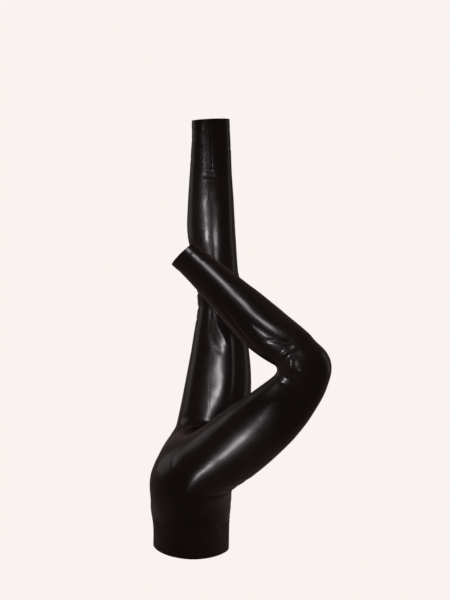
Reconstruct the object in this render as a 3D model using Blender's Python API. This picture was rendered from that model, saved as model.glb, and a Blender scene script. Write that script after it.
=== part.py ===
"""High-waisted leggings in glossy black faux leather, held upside down by the waist, one knee bent.

The garment is three sewn pieces: a waistband and two legs, each leg cut with its half of the seat and
front, joined at the middle by the front and back rise and closed by its inseam. Their shape is worked
out on a general figure: a torso, two seat rounds and four tapered limbs, blended where they meet.
A piece's surface is a grid: rows are cutting planes across the piece, columns run round it, and each
grid point is where a ray in its plane leaves the figure.

Frame: origin at the centre of the waist opening, +X to the wearer's front, +Y to the wearer's right,
+Z from the waist towards the feet. Tables are in millimetres, everything else in metres.
"""

import math

import bpy
import numpy as np

MM = 0.001

# Cloth
LEG_WALL = 1.5 * MM
BAND_WALL = 2.4 * MM
SEAM_GAP = 0.3 * MM
BAND_HEIGHT = 75 * MM
HEM_LEAN = math.radians(2.3)
# The waist hem curves up this much towards the front and the back
HEM_RISE = 10 * MM

# Joint centres of the figure, and the middle of each cuff, mm
JOINTS = {
    "left": {"hip": (20, -92, 182), "knee": (250, -306, 431), "cuff": (-13, -165, 666)},
    "right": {"hip": (26, 88, 185), "knee": (60, 80, 590), "cuff": (42, 70, 981)},
}
OUTWARD = {"left": -1, "right": 1}

# Radius of each thigh to four sides, mm, at distances from the hip. The bent knee draws the cloth
# tight over its front and slack behind.
#    along front back inner outer
THIGH = {
    "left": [
        (-10, 68, 80, 80, 82),
        (40, 74, 76, 82, 84),
        (110, 84, 67, 78, 80),
        (200, 89, 53, 70, 74),
        (280, 86, 37, 61, 63),
        (345, 75, 29, 54, 55),
        (370, 69, 30, 50, 51),
        (390, 62, 31, 48, 49),
        (404, 52, 33, 45, 46),
    ],
    "right": [
        (-10, 74, 80, 80, 82),
        (40, 84, 77, 82, 84),
        (110, 94, 66, 78, 80),
        (200, 95, 56, 70, 74),
        (280, 82, 48, 60, 62),
        (350, 64, 43, 53, 55),
        (400, 54, 43, 50, 52),
    ],
}
# The same for each shin, at distances from the knee. The bent one's foot turns outwards.
#    along front back inner outer
SHIN = {
    "left": [
        (0, 37, 35, 44, 45),
        (30, 46, 41, 47, 48),
        (60, 50, 47, 50, 51),
        (120, 45, 60, 51, 52),
        (200, 44, 56, 45, 47),
        (290, 41, 43, 36, 38),
        (360, 38, 38, 31, 32),
        (400, 38, 38, 31, 32),
    ],
    "right": [
        (0, 52, 43, 50, 52),
        (60, 48, 52, 50, 52),
        (120, 47, 63, 51, 52),
        (200, 46, 60, 45, 47),
        (290, 45, 50, 36, 38),
        (360, 45, 43, 32, 33),
        (400, 45, 41, 31, 32),
    ],
}
SHIN_TWIST = {"left": math.radians(25), "right": 0.0}

# Torso: an oval at each height above the waist opening, mm
#    height centre front back half_width
TORSO = [
    (0, 0, 86, 85, 118),
    (45, 0, 86, 85, 122),
    (75, 0, 87, 87, 129),
    (100, 0, 90, 91, 137),
    (145, 0, 92, 86, 152),
    (200, 8, 84, 78, 158),
]
TORSO_CAP = 75 * MM
SEAT_CENTRE = (-17, 62, 160)
SEAT_RADII = (72, 74, 76)
SEAT_BLEND, HIP_BLEND = 30 * MM, 40 * MM
KNEE_BLEND = 22 * MM
# How far a limb's cap reaches, for each millimetre of its mean radius
CAP_ROUND = 0.96
# The cloth is pulled smooth over the bent knee, from here to this far, in this many passes over the grid
KNEECAP = (266, -322, 424)
KNEECAP_REACH = 85 * MM
KNEECAP_PASSES = 2

# Cutting planes: from the level waist they lean to the front and splay with the thigh until the
# crotch, then settle square to the thigh. At the knee they fan round a pivot behind it.
CROTCH_LEAN = math.radians(20)
SPLAY = {"left": math.radians(30), "right": 0.0}
SETTLE = 90 * MM
KNEE_TURN = {"left": 62 * MM, "right": 400 * MM}
# The left cuff has ridden up on its outer side: over the last of the shin its plane turns to face this way
CUFF_FACES = {"left": (-0.665, 0.10, 0.74), "right": None}
SKEW_REACH = 120 * MM
# Where the rays of a plane start, to the side of the middle and forward of it, mm
#         at      sideways forward
RAY_START = {
    "left": {"waist": (60, 0), "crotch": (95, 22)},
    "right": {"waist": (60, 0), "crotch": (86, 0)},
}
# Planes crowd towards the crotch: 1 would space them evenly along the middle
EVENNESS = 0.3

# Grid: rows in the seat, thigh, knee and shin of each leg, and points round a ring
ROWS = {"left": (10, 8, 11, 10), "right": (10, 11, 3, 12)}
LEG_COLUMNS = 28
BAND_ROWS, BAND_COLUMNS = 3, 48
# Rays march outwards to their reach in steps, then halve the last step
REACH, MARCH_STEPS, HALVINGS = 240 * MM, 30, 16
SLOPE_NUDGE = 0.5 * MM

# Finish
LEG_SHADE, LEG_ROUGHNESS = 0.012, 0.30
BAND_SHADE, BAND_ROUGHNESS = 0.014, 0.34
SHARP_EDGE = math.radians(50)


def unit(a):
    return a / np.linalg.norm(a, axis=-1, keepdims=True)


def ease(t):
    """0 to 1 with level ends."""
    t = np.clip(t, 0, 1)
    return t * t * (3 - 2 * t)


def curve(x, xs, ys):
    """Smooth cubic through the points (xs, ys), held at its end values outside them."""
    slopes = np.gradient(ys, xs)
    x = np.clip(x, xs[0], xs[-1])
    i = np.clip(np.searchsorted(xs, x, side="right") - 1, 0, len(xs) - 2)
    step = xs[i + 1] - xs[i]
    t = (x - xs[i]) / step
    start = ys[i] * (1 + 2 * t) + slopes[i] * step * t
    end = ys[i + 1] * (3 - 2 * t) - slopes[i + 1] * step * (1 - t)
    return start * (1 - t) ** 2 + end * t ** 2


def blend(a, b, width):
    """The lower of two fields, rounded where they are within width of each other."""
    h = np.clip(0.5 + 0.5 * (b - a) / width, 0, 1)
    return b * (1 - h) + a * h - width * h * (1 - h)


def oval(x, y, front, back, inner, outer):
    """How far out (x, y) is, 1 on the oval with these four radii, and the oval's mean radius."""
    reach = np.sqrt(x * x + y * y) + 1e-9
    along = (front + back) / 2 + (front - back) / 2 * x / reach
    across = (outer + inner) / 2 + (outer - inner) / 2 * y / reach
    return np.sqrt((x / along) ** 2 + (y / across) ** 2), np.sqrt(along * across)


class Limb:
    """A tapered round about a straight axis, with a radius to each of four sides and a round cap."""

    def __init__(self, start, end, front, table, side, twist=0.0):
        self.start = np.array(start) * MM
        self.end = np.array(end) * MM
        self.length = np.linalg.norm(self.end - self.start)
        self.along = unit(self.end - self.start)
        self.front = unit(front - (front @ self.along) * self.along)
        self.outer = np.cross(self.along, self.front) * OUTWARD[side]
        self.table = np.array(table) * MM
        self.twist = twist

    def at(self, distance):
        return self.start + np.multiply.outer(distance, self.along)

    def outer_at(self, distance):
        """The outer direction at each distance, turned by the twist."""
        turn = self.twist * np.clip(distance / self.length, 0, 1)
        return np.multiply.outer(np.cos(turn), self.outer) - np.multiply.outer(np.sin(turn), self.front)

    def field(self, points):
        """About the distance outside the limb, negative inside it."""
        offset = points - self.start
        distance, x, y = offset @ self.along, offset @ self.front, offset @ self.outer
        turn = self.twist * np.clip(distance / self.length, 0, 1)
        x, y = np.cos(turn) * x + np.sin(turn) * y, np.cos(turn) * y - np.sin(turn) * x
        places, *radii = self.table.T
        radii = [curve(distance, places, r) for r in radii]
        out, mean = oval(x, y, *radii)
        beyond = np.maximum(places[0] - distance, 0) + np.maximum(distance - places[-1], 0)
        cap = CAP_ROUND * sum(radii) / len(radii)
        return (np.sqrt(out ** 2 + (beyond / cap) ** 2) - 1) * mean


def make_limbs(side):
    """The thigh and shin of one side. The left kneecap points away from both limbs, the right one to +X."""
    hip, knee, cuff = (np.array(JOINTS[side][name], float) for name in ("hip", "knee", "cuff"))
    bend = unit(knee - hip) + unit(knee - cuff)
    front = unit(bend) if side == "left" else np.array([1.0, 0, 0])
    thigh = Limb(hip, knee, front, THIGH[side], side)
    shin = Limb(knee, cuff, front, SHIN[side], side, SHIN_TWIST[side])
    return thigh, shin


LIMBS = {side: make_limbs(side) for side in JOINTS}


def torso_field(points):
    places, centre, front, back, half = (np.array(TORSO) * MM).T
    height = points[..., 2]
    x = points[..., 0] - curve(height, places, centre)
    sides = [curve(height, places, r) for r in (front, back, half, half)]
    out, mean = oval(x, points[..., 1], *sides)
    beyond = np.maximum(height - places[-1], 0) / TORSO_CAP
    return (np.sqrt(out ** 2 + beyond ** 2) - 1) * mean


def seat_field(points, side):
    x, y, z = SEAT_CENTRE
    centre = np.array([x, y * OUTWARD[side], z]) * MM
    radii = np.array(SEAT_RADII) * MM
    return (np.linalg.norm((points - centre) / radii, axis=-1) - 1) * radii.mean()


def hips_field(points):
    """Torso, both seat rounds and both thighs as one form."""
    out = torso_field(points)
    for side in JOINTS:
        out = blend(out, seat_field(points, side), SEAT_BLEND)
    for side in JOINTS:
        out = blend(out, LIMBS[side][0].field(points), HIP_BLEND)
    return out


def leg_field(points, side):
    return blend(hips_field(points), LIMBS[side][1].field(points), KNEE_BLEND)


def knee_field(points, side):
    """One leg's own limbs alone, for the rows that lie well past the hips."""
    thigh, shin = LIMBS[side]
    return blend(thigh.field(points), shin.field(points), KNEE_BLEND)


def cast(field, start, way):
    """Where each ray first leaves the form: a march outwards, then halving."""
    start = np.broadcast_to(start, way.shape)
    near = np.zeros(way.shape[:-1])
    going = np.ones(near.shape, bool)
    step = REACH / MARCH_STEPS
    for _ in range(MARCH_STEPS):
        inside = field(start + way * (near + step)[..., None]) < 0
        going &= inside
        near = np.where(going, near + step, near)
    far = near + step
    for _ in range(HALVINGS):
        middle = (near + far) / 2
        inside = field(start + way * middle[..., None]) < 0
        near, far = np.where(inside, middle, near), np.where(inside, far, middle)
    return start + way * near[..., None]


def normals_of(field, points):
    """Outward directions, from the slope of the field."""
    slope = [field(points + axis) - field(points - axis) for axis in SLOPE_NUDGE * np.eye(3)]
    return unit(np.stack(slope, axis=-1))


def crotch_point():
    """The point of the middle outline that the leaning crotch plane touches first."""
    middle = np.array([0, 0, SEAT_CENTRE[2] * MM])
    turn = np.linspace(0, math.pi, 721)
    outline = cast(hips_field, middle, np.stack([np.cos(turn), 0 * turn, np.sin(turn)], axis=-1))
    up = np.array([math.sin(CROTCH_LEAN), 0, math.cos(CROTCH_LEAN)])
    return outline[np.argmax(outline @ up)]


CROTCH = crotch_point()


def pelvis_planes(side, place):
    """Planes from the waist seam (place 0) to the crotch (place 1), each cutting the middle outline.

    Gives for each plane its ray start, its direction towards the middle, its forward direction, and
    the point on the middle between its front and back seam points.
    """
    lean = HEM_LEAN + (CROTCH_LEAN - HEM_LEAN) * ease(place)
    splay = SPLAY[side] * ease(place)
    zero = 0 * place
    forward = np.stack([np.cos(lean), zero, -np.sin(lean)], axis=-1)
    up = np.stack([np.sin(lean), zero, np.cos(lean)], axis=-1)
    out = np.array([0, OUTWARD[side], 0])
    sideways = np.cos(splay)[:, None] * out - np.sin(splay)[:, None] * up
    left_over = (1 - place) * (EVENNESS + (1 - EVENNESS) * (1 - place))
    seam_middle = np.array([0, 0, BAND_HEIGHT])
    middle = CROTCH + (seam_middle - CROTCH) * left_over[:, None]
    first, last = (np.array(RAY_START[side][key]) * MM for key in ("waist", "crotch"))
    shift = first + (last - first) * ease(place)[:, None]
    start = middle + shift[:, :1] * sideways + shift[:, 1:] * forward
    return start, -sideways, forward, middle


def leg_planes(side, thigh_rows, knee_rows, shin_rows):
    """Planes beyond the crotch: down the thigh, round the knee in a fan about a pivot, down the shin."""
    thigh, shin = LIMBS[side]
    half = math.acos(-thigh.along @ shin.along) / 2
    turn = KNEE_TURN[side]
    straight = turn / math.tan(half)
    start, inward, forward, _ = (a[0] for a in pelvis_planes(side, np.array([1.0])))
    normal = np.cross(inward, forward) * OUTWARD[side]
    first = ((start - thigh.start) @ normal) / (thigh.along @ normal)
    off = start - thigh.at(first)

    places = np.linspace(first, thigh.length - straight, thigh_rows + 1)[1:]
    settled = ease((places - first) / SETTLE)[:, None]
    origins = [thigh.at(places) + off * (1 - settled)]
    normals = [unit(normal + (thigh.along - normal) * settled)]
    towards = unit(CROTCH - start)
    inwards = [unit(towards - (thigh.outer + towards) * settled)]

    pivot = thigh.end + unit(shin.along - thigh.along) * turn / math.sin(half)
    bend = np.linspace(0, math.pi - 2 * half, knee_rows + 1)[1:, None]
    from_pivot = unit(thigh.at(thigh.length - straight) - pivot)
    way = np.cos(bend) * from_pivot + np.sin(bend) * thigh.along
    origins.append(pivot + turn * way)
    normals.append(np.cos(bend) * thigh.along - np.sin(bend) * from_pivot)
    inwards.append(-thigh.outer + (thigh.outer - shin.outer) * bend / bend[-1])

    places = np.linspace(straight, shin.length, shin_rows + 1)[1:]
    skew = ease(1 - (shin.length - places) / SKEW_REACH)[:, None]
    cuff_faces = CUFF_FACES[side] or shin.along
    origins.append(shin.at(places))
    normals.append(unit(shin.along + skew * (cuff_faces - shin.along)))
    inwards.append(-shin.outer_at(places))

    origins, normals, inwards = (np.concatenate(a) for a in (origins, normals, inwards))
    inwards = unit(inwards - np.sum(inwards * normals, axis=-1, keepdims=True) * normals)
    return origins, inwards, np.cross(normals, inwards) * OUTWARD[side]


def rays(inward, forward, turn):
    """Directions in each plane, turned from its inward direction towards its forward one."""
    return np.cos(turn)[..., None] * inward[:, None] + np.sin(turn)[..., None] * forward[:, None]


def even_rings(field, start, inward, forward, columns, first=0.0, last=2 * math.pi):
    """Rings from ray angle first to last, their points evenly spaced along the surface."""
    first, last = (np.broadcast_to(turn, len(start)) for turn in (first, last))
    share = np.linspace(0, 1, 4 * columns + 1)
    turn = first[:, None] + (last - first)[:, None] * share
    points = cast(field, start[:, None], rays(inward, forward, turn))
    travelled = np.cumsum(np.linalg.norm(np.diff(points, axis=1), axis=-1), axis=1)
    travelled = np.pad(travelled, ((0, 0), (1, 0))) / travelled[:, -1:]
    shelf = 2.0 * np.arange(len(start))[:, None]
    wanted = np.linspace(0, 1, columns + 1) + shelf
    turn = np.interp(wanted.ravel(), (travelled + shelf).ravel(), turn.ravel()).reshape(wanted.shape)
    return cast(field, start[:, None], rays(inward, forward, turn))


def pulled_smooth(points):
    """The grid with the cloth over the bent knee pulled smooth along its columns.

    Each pass moves a point by half of w towards the middle of the points before and after it. The share w
    eases from 1 at the kneecap to 0 at its reach.
    """
    away = np.linalg.norm(points - np.array(KNEECAP) * MM, axis=-1)
    share = ease(1 - away / KNEECAP_REACH)[1:-1, :, None] / 2
    for _ in range(KNEECAP_PASSES):
        middle = (points[:-2] + points[2:]) / 2
        moved = points[1:-1] + share * (middle - points[1:-1])
        points = np.concatenate([points[:1], moved, points[-1:]])
    return points


def leg_grid(side):
    """Outer points of a leg from waist seam to cuff, its outward directions, and its first closed row.

    Rows up to the crotch are open: they run from the front seam round the outside to the back seam. The
    crotch row and those after it are closed and start and end on the inseam.
    """
    sign = OUTWARD[side]
    seat_rows, *further_rows = ROWS[side]
    to_own_half = np.array([0, sign * SEAM_GAP / 2, 0])

    def unclipped(points):
        return leg_field(points, side)

    def whole(points):
        return np.maximum(unclipped(points), SEAM_GAP / 2 - sign * points[..., 1])

    def lower(points):
        return knee_field(points, side)

    start, inward, forward, middle = pelvis_planes(side, np.linspace(0, 1, seat_rows + 1))
    front_seam = cast(hips_field, middle + to_own_half, forward)
    back_seam = cast(hips_field, middle + to_own_half, -forward)
    front_seam[-1] = back_seam[-1] = CROTCH + to_own_half
    first, last = (
        np.arctan2(np.sum((seam - start) * forward, -1), np.sum((seam - start) * inward, -1))
        for seam in (front_seam, back_seam)
    )
    seat = even_rings(whole, start, inward, forward, LEG_COLUMNS, first, last + 2 * math.pi)
    seat[:, 0], seat[:, -1] = front_seam, back_seam

    planes = leg_planes(side, *further_rows)
    thigh_rows = further_rows[0]
    thigh = even_rings(whole, *(a[:thigh_rows] for a in planes), LEG_COLUMNS)
    rest = even_rings(lower, *(a[thigh_rows:] for a in planes), LEG_COLUMNS)
    formed = ((unclipped, seat), (unclipped, thigh), (lower, rest))
    outward = np.concatenate([normals_of(field, points) for field, points in formed])
    outward[:seat_rows + 1, [0, -1], 1] = 0
    points = np.concatenate([seat, thigh, rest])
    if side == "left":
        points = pulled_smooth(points)
    return points, unit(outward), seat_rows


def band_grid():
    """Outer points of the waistband from hem to seam, its outward directions, and its first closed row."""
    height = np.linspace(0, BAND_HEIGHT - SEAM_GAP, BAND_ROWS + 1)
    start = np.multiply.outer(height, [0, 0, 1.0])
    inward = np.tile([0, -1.0, 0], (len(height), 1))
    forward = np.tile([math.cos(HEM_LEAN), 0, -math.sin(HEM_LEAN)], (len(height), 1))
    points = even_rings(hips_field, start, inward, forward, BAND_COLUMNS)
    outward = normals_of(hips_field, points)
    reach = np.abs(points[..., 0]).max()
    points[..., 2] += HEM_RISE * (points[..., 0] / reach) ** 2 * (1 - height / BAND_HEIGHT)[:, None]
    return points, outward, 0


def make_wall(name, grid, thickness, flip, material, collection):
    """A cloth wall: the grid, the same grid moved in by the thickness, and a rim along every free edge.

    The outward directions along the middle seams lie in the middle plane, so that the two legs' edges
    stay square to it and 0.3 mm apart, which a Solidify modifier would not keep.
    """
    points, outward, first_closed = grid
    rows, columns = points.shape[:2]
    number = np.arange(rows * columns).reshape(rows, columns)
    number[first_closed:, -1] = number[first_closed:, 0]
    quads = np.stack([number[:-1, :-1], number[:-1, 1:], number[1:, 1:], number[1:, :-1]], -1).reshape(-1, 4)
    quads = quads[:, ::-1] if flip else quads
    edges = np.stack([quads, np.roll(quads, -1, axis=1)], -1).reshape(-1, 2)
    size = rows * columns
    codes, back = edges @ [size, 1], edges @ [1, size]
    free = edges[~np.isin(codes, back)]
    rim = np.stack([free[:, 1], free[:, 0], free[:, 0] + size, free[:, 1] + size], -1)
    skins = np.concatenate([points, points - thickness * outward]).reshape(-1, 3)
    faces = np.concatenate([quads, quads[:, ::-1] + size, rim])
    used, faces = np.unique(faces, return_inverse=True)

    mesh = bpy.data.meshes.new(name)
    mesh.from_pydata(skins[used].tolist(), [], faces.reshape(-1, 4).tolist())
    mesh.shade_smooth()
    mesh.set_sharp_from_angle(angle=SHARP_EDGE)
    mesh.materials.append(material)
    collection.objects.link(bpy.data.objects.new(name, mesh))


def make_leather(name, shade, roughness):
    """Black coated cloth: a dark, slightly warm dielectric."""
    material = bpy.data.materials.new(name)
    material.use_nodes = True
    shader = material.node_tree.nodes["Principled BSDF"]
    shader.inputs["Base Color"].default_value = (shade, shade * 0.96, shade * 0.96, 1)
    shader.inputs["Roughness"].default_value = roughness
    shader.inputs["Metallic"].default_value = 0
    return material


def main():
    for old in list(bpy.data.objects):
        bpy.data.objects.remove(old)
    collection = bpy.data.collections.new("leggings")
    bpy.context.scene.collection.children.link(collection)
    band_leather = make_leather("band_leather", BAND_SHADE, BAND_ROUGHNESS)
    make_wall("waistband", band_grid(), BAND_WALL, False, band_leather, collection)
    for side in JOINTS:
        leather = make_leather(side + "_leg_leather", LEG_SHADE, LEG_ROUGHNESS)
        make_wall(side + "_leg", leg_grid(side), LEG_WALL, side == "left", leather, collection)


main()
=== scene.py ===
"""The looks of high-waisted leggings in glossy black faux leather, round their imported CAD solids.

Each cloth piece is a thin shell worked out on a grid: rows are cutting planes across the piece, columns
run round it, and each grid point is where a ray in its plane leaves a figure made of a torso, two seat
rounds and four tapered limbs. Creases, seams and hems are then set into the shell along its outward
directions. Tables are in millimetres, everything else in metres. Frame: origin at the centre of the
waist opening, +X to the wearer's front, +Y to the wearer's right, +Z from the waist to the feet.
"""

import math

import bpy
import numpy as np
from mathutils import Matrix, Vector


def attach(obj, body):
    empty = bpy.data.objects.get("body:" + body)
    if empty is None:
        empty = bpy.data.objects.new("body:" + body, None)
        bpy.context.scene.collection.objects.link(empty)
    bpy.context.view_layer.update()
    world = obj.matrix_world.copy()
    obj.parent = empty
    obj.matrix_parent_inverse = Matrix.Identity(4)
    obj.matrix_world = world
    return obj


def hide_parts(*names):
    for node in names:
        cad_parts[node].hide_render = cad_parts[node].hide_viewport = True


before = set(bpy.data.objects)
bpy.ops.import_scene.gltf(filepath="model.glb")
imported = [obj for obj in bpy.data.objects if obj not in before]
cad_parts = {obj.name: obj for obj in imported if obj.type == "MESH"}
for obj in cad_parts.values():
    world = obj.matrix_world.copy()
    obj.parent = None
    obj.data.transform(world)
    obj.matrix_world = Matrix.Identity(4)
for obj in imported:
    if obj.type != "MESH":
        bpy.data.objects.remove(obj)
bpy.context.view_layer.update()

MM = 0.001

# ---- Sizes of the form ----

# Joint centres of the figure, and the middle of each cuff
JOINTS = {
    "left": {"hip": (20, -92, 182), "knee": (250, -306, 431), "cuff": (-13, -165, 666)},
    "right": {"hip": (26, 88, 185), "knee": (60, 80, 590), "cuff": (42, 70, 981)},
}
OUTWARD = {"left": -1, "right": 1}

# Radius of each thigh to four sides, at distances from the hip
#    along front back inner outer
THIGH = {
    "left": [
        (-10, 68, 80, 80, 82),
        (40, 74, 76, 82, 84),
        (110, 84, 67, 78, 80),
        (200, 89, 53, 70, 74),
        (280, 86, 37, 61, 63),
        (345, 75, 29, 54, 55),
        (370, 69, 30, 50, 51),
        (390, 62, 31, 48, 49),
        (404, 52, 33, 45, 46),
    ],
    "right": [
        (-10, 74, 80, 80, 82),
        (40, 84, 77, 82, 84),
        (110, 94, 66, 78, 80),
        (200, 95, 56, 70, 74),
        (280, 82, 48, 60, 62),
        (350, 64, 43, 53, 55),
        (400, 54, 43, 50, 52),
    ],
}
# Radius of each shin, at distances from the knee
#    along front back inner outer
SHIN = {
    "left": [
        (0, 37, 35, 44, 45),
        (30, 46, 41, 47, 48),
        (60, 50, 47, 50, 51),
        (120, 45, 60, 51, 52),
        (200, 44, 56, 45, 47),
        (290, 41, 43, 36, 38),
        (360, 38, 38, 31, 32),
        (400, 38, 38, 31, 32),
    ],
    "right": [
        (0, 52, 43, 50, 52),
        (60, 48, 52, 50, 52),
        (120, 47, 63, 51, 52),
        (200, 46, 60, 45, 47),
        (290, 45, 50, 36, 38),
        (360, 45, 43, 32, 33),
        (400, 45, 41, 31, 32),
    ],
}
# From knee to cuff each shin's front turns towards the outside by this angle
SHIN_TWIST = {"left": math.radians(25), "right": 0.0}

# Torso: an oval at each height above the waist opening
#    height centre front back half_width
TORSO = [
    (0, 0, 86, 85, 118),
    (45, 0, 86, 85, 122),
    (75, 0, 87, 87, 129),
    (100, 0, 90, 91, 137),
    (145, 0, 92, 86, 152),
    (200, 8, 84, 78, 158),
]
# The torso ends in a round cap this high. Each side has a seat round, an ellipsoid.
TORSO_CAP = 75 * MM
SEAT_CENTRE = (-17, 62, 160)
SEAT_RADII = (72, 74, 76)
# Parts of the form run into each other over these widths
SEAT_BLEND, HIP_BLEND, KNEE_BLEND = 30 * MM, 40 * MM, 22 * MM
# How far a limb's cap reaches, for each millimetre of its mean radius
CAP_ROUND = 0.96

# Cutting planes. They dip towards the front by the hem's lean, and by the crotch's at the crotch.
BAND_HEIGHT = 75 * MM
SEAM_GAP = 0.3 * MM
HEM_LEAN, CROTCH_LEAN = math.radians(2.3), math.radians(20)
# The waist hem curves up this much towards the front and the back
HEM_RISE = 10 * MM
# At the crotch a plane also dips sideways, away from the middle, by this angle
SPLAY = {"left": math.radians(30), "right": 0.0}
# Over this much of the thigh the planes turn square across it
SETTLE = 90 * MM
# Round the knee they fan about a pivot this far from both limbs' axes
KNEE_TURN = {"left": 62 * MM, "right": 400 * MM}
# The left cuff has ridden up on its outer side: over the last of the shin its plane turns to face this way
CUFF_FACES = {"left": (-0.665, 0.10, 0.74), "right": None}
SKEW_REACH = 120 * MM
# Where the rays of a seat plane start: how far from the middle, sideways and forwards
RAY_START = {
    "left": {"waist": (60, 0), "crotch": (95, 22)},
    "right": {"waist": (60, 0), "crotch": (86, 0)},
}
# 1 spreads the seat's rows evenly down the middle, and less crowds them towards the crotch
EVENNESS = 0.3

# Rays march outwards to their reach in steps, then halve the last step
REACH, MARCH_STEPS, HALVINGS = 240 * MM, 24, 14
SLOPE_NUDGE = 0.5 * MM
# Rays that look for the crotch in the middle outline
CROTCH_RAYS = 721

# Rows in the seat, thigh, knee and shin, rows in the cuff hem, and columns round a piece
ROWS = {"left": (64, 50, 74, 58), "right": (64, 84, 24, 80)}
HEM_ROWS, LEG_COLUMNS, BAND_ROWS, BAND_COLUMNS = 22, 150, 34, 260
HEM_ZONE = 25 * MM
# Extra rows and columns beside each edge and seam, at these distances from it
BESIDE_EDGE = (0.2, 0.5, 0.9, 1.4, 2.0, 2.8)

# Cloth thicknesses, the band's for its two layers
LEG_WALL, BAND_WALL = 1.2 * MM, 2.2 * MM

# Where the cloth over the bent knee is pulled smooth: the centre, the reach and the passes
KNEECAP = np.array([266, -322, 424]) * MM, 85 * MM, 90


def unit(a):
    """Each vector divided by its length."""
    return a / np.linalg.norm(a, axis=-1, keepdims=True)


def ease(t):
    """0 to 1 with level ends: 3t^2 - 2t^3."""
    t = np.clip(t, 0, 1)
    return t * t * (3 - 2 * t)


def curve(x, xs, ys):
    """Cubic Hermite curve through the points (xs, ys), held at its end values outside them."""
    slopes = np.gradient(ys, xs)
    x = np.clip(x, xs[0], xs[-1])
    i = np.clip(np.searchsorted(xs, x, side="right") - 1, 0, len(xs) - 2)
    step = xs[i + 1] - xs[i]
    t = (x - xs[i]) / step
    start = ys[i] * (1 + 2 * t) + slopes[i] * step * t
    end = ys[i + 1] * (3 - 2 * t) - slopes[i + 1] * step * (1 - t)
    return start * (1 - t) ** 2 + end * t ** 2


def blend(a, b, width):
    """The lower of two fields, rounded where they are within width of each other."""
    h = np.clip(0.5 + 0.5 * (b - a) / width, 0, 1)
    return b * (1 - h) + a * h - width * h * (1 - h)


def oval(x, y, front, back, inner, outer):
    """How far out (x, y) is, 1 on the oval with these four radii, and the oval's mean radius."""
    reach = np.sqrt(x * x + y * y) + 1e-9
    along = (front + back) / 2 + (front - back) / 2 * x / reach
    across = (outer + inner) / 2 + (outer - inner) / 2 * y / reach
    return np.sqrt((x / along) ** 2 + (y / across) ** 2), np.sqrt(along * across)


class Limb:
    """A tapered round about a straight axis, with a radius to each of four sides and a round cap."""

    def __init__(self, start, end, front, table, side, twist=0.0):
        self.start = np.array(start) * MM
        self.end = np.array(end) * MM
        self.length = np.linalg.norm(self.end - self.start)
        self.along = unit(self.end - self.start)
        self.front = unit(front - (front @ self.along) * self.along)
        self.outer = np.cross(self.along, self.front) * OUTWARD[side]
        self.table = np.array(table) * MM
        self.twist = twist

    def at(self, distance):
        """The point of the axis at each distance from the start."""
        return self.start + np.multiply.outer(distance, self.along)

    def turn_at(self, distance):
        """How far the four sides have turned at each distance: evenly from 0 to the twist."""
        return self.twist * np.clip(distance / self.length, 0, 1)

    def outer_at(self, distance):
        """The outer direction at each distance, turned by the twist."""
        turn = self.turn_at(distance)
        return np.multiply.outer(np.cos(turn), self.outer) - np.multiply.outer(np.sin(turn), self.front)

    def field(self, points):
        """About the distance outside the limb: its oval's measure less 1, times the oval's mean radius."""
        offset = points - self.start
        distance, x, y = offset @ self.along, offset @ self.front, offset @ self.outer
        turn = self.turn_at(distance)
        x, y = np.cos(turn) * x + np.sin(turn) * y, np.cos(turn) * y - np.sin(turn) * x
        places, *radii = self.table.T
        radii = [curve(distance, places, r) for r in radii]
        out, mean = oval(x, y, *radii)
        beyond = np.maximum(places[0] - distance, 0) + np.maximum(distance - places[-1], 0)
        cap = CAP_ROUND * sum(radii) / len(radii)
        return (np.sqrt(out ** 2 + (beyond / cap) ** 2) - 1) * mean


def make_limbs(side):
    """The thigh and shin of one side. The left kneecap points away from both limbs, the right one to +X."""
    hip, knee, cuff = (np.array(JOINTS[side][name], float) for name in ("hip", "knee", "cuff"))
    bend = unit(knee - hip) + unit(knee - cuff)
    front = unit(bend) if side == "left" else np.array([1.0, 0, 0])
    thigh = Limb(hip, knee, front, THIGH[side], side)
    shin = Limb(knee, cuff, front, SHIN[side], side, SHIN_TWIST[side])
    return thigh, shin


LIMBS = {side: make_limbs(side) for side in JOINTS}


def torso_field(points):
    """About the distance outside the torso: an oval at each height, its size a curve through the table."""
    places, centre, front, back, half = (np.array(TORSO) * MM).T
    height = points[..., 2]
    x = points[..., 0] - curve(height, places, centre)
    sides = [curve(height, places, r) for r in (front, back, half, half)]
    out, mean = oval(x, points[..., 1], *sides)
    beyond = np.maximum(height - places[-1], 0) / TORSO_CAP
    return (np.sqrt(out ** 2 + beyond ** 2) - 1) * mean


def seat_field(points, side):
    """About the distance outside a seat round: its ellipsoid's measure less 1, times its mean radius."""
    x, y, z = SEAT_CENTRE
    centre = np.array([x, y * OUTWARD[side], z]) * MM
    radii = np.array(SEAT_RADII) * MM
    return (np.linalg.norm((points - centre) / radii, axis=-1) - 1) * radii.mean()


def hips_field(points):
    """Torso, both seat rounds and both thighs as one form."""
    out = torso_field(points)
    for side in JOINTS:
        out = blend(out, seat_field(points, side), SEAT_BLEND)
    for side in JOINTS:
        out = blend(out, LIMBS[side][0].field(points), HIP_BLEND)
    return out


def leg_field(points, side):
    """The hips with both thighs, and one shin."""
    return blend(hips_field(points), LIMBS[side][1].field(points), KNEE_BLEND)


def knee_field(points, side):
    """One thigh and shin alone, for the rows that lie well past the hips."""
    thigh, shin = LIMBS[side]
    return blend(thigh.field(points), shin.field(points), KNEE_BLEND)


def cast(field, start, way):
    """Where each ray first leaves the form: a march outwards, then halving."""
    start = np.broadcast_to(start, way.shape)
    near = np.zeros(way.shape[:-1])
    going = np.ones(near.shape, bool)
    step = REACH / MARCH_STEPS
    for _ in range(MARCH_STEPS):
        going[going] = field(start[going] + way[going] * (near[going] + step)[:, None]) < 0
        near[going] += step
        if not going.any():
            break
    far = near + step
    for _ in range(HALVINGS):
        middle = (near + far) / 2
        inside = field(start + way * middle[..., None]) < 0
        near, far = np.where(inside, middle, near), np.where(inside, far, middle)
    return start + way * near[..., None]


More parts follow.
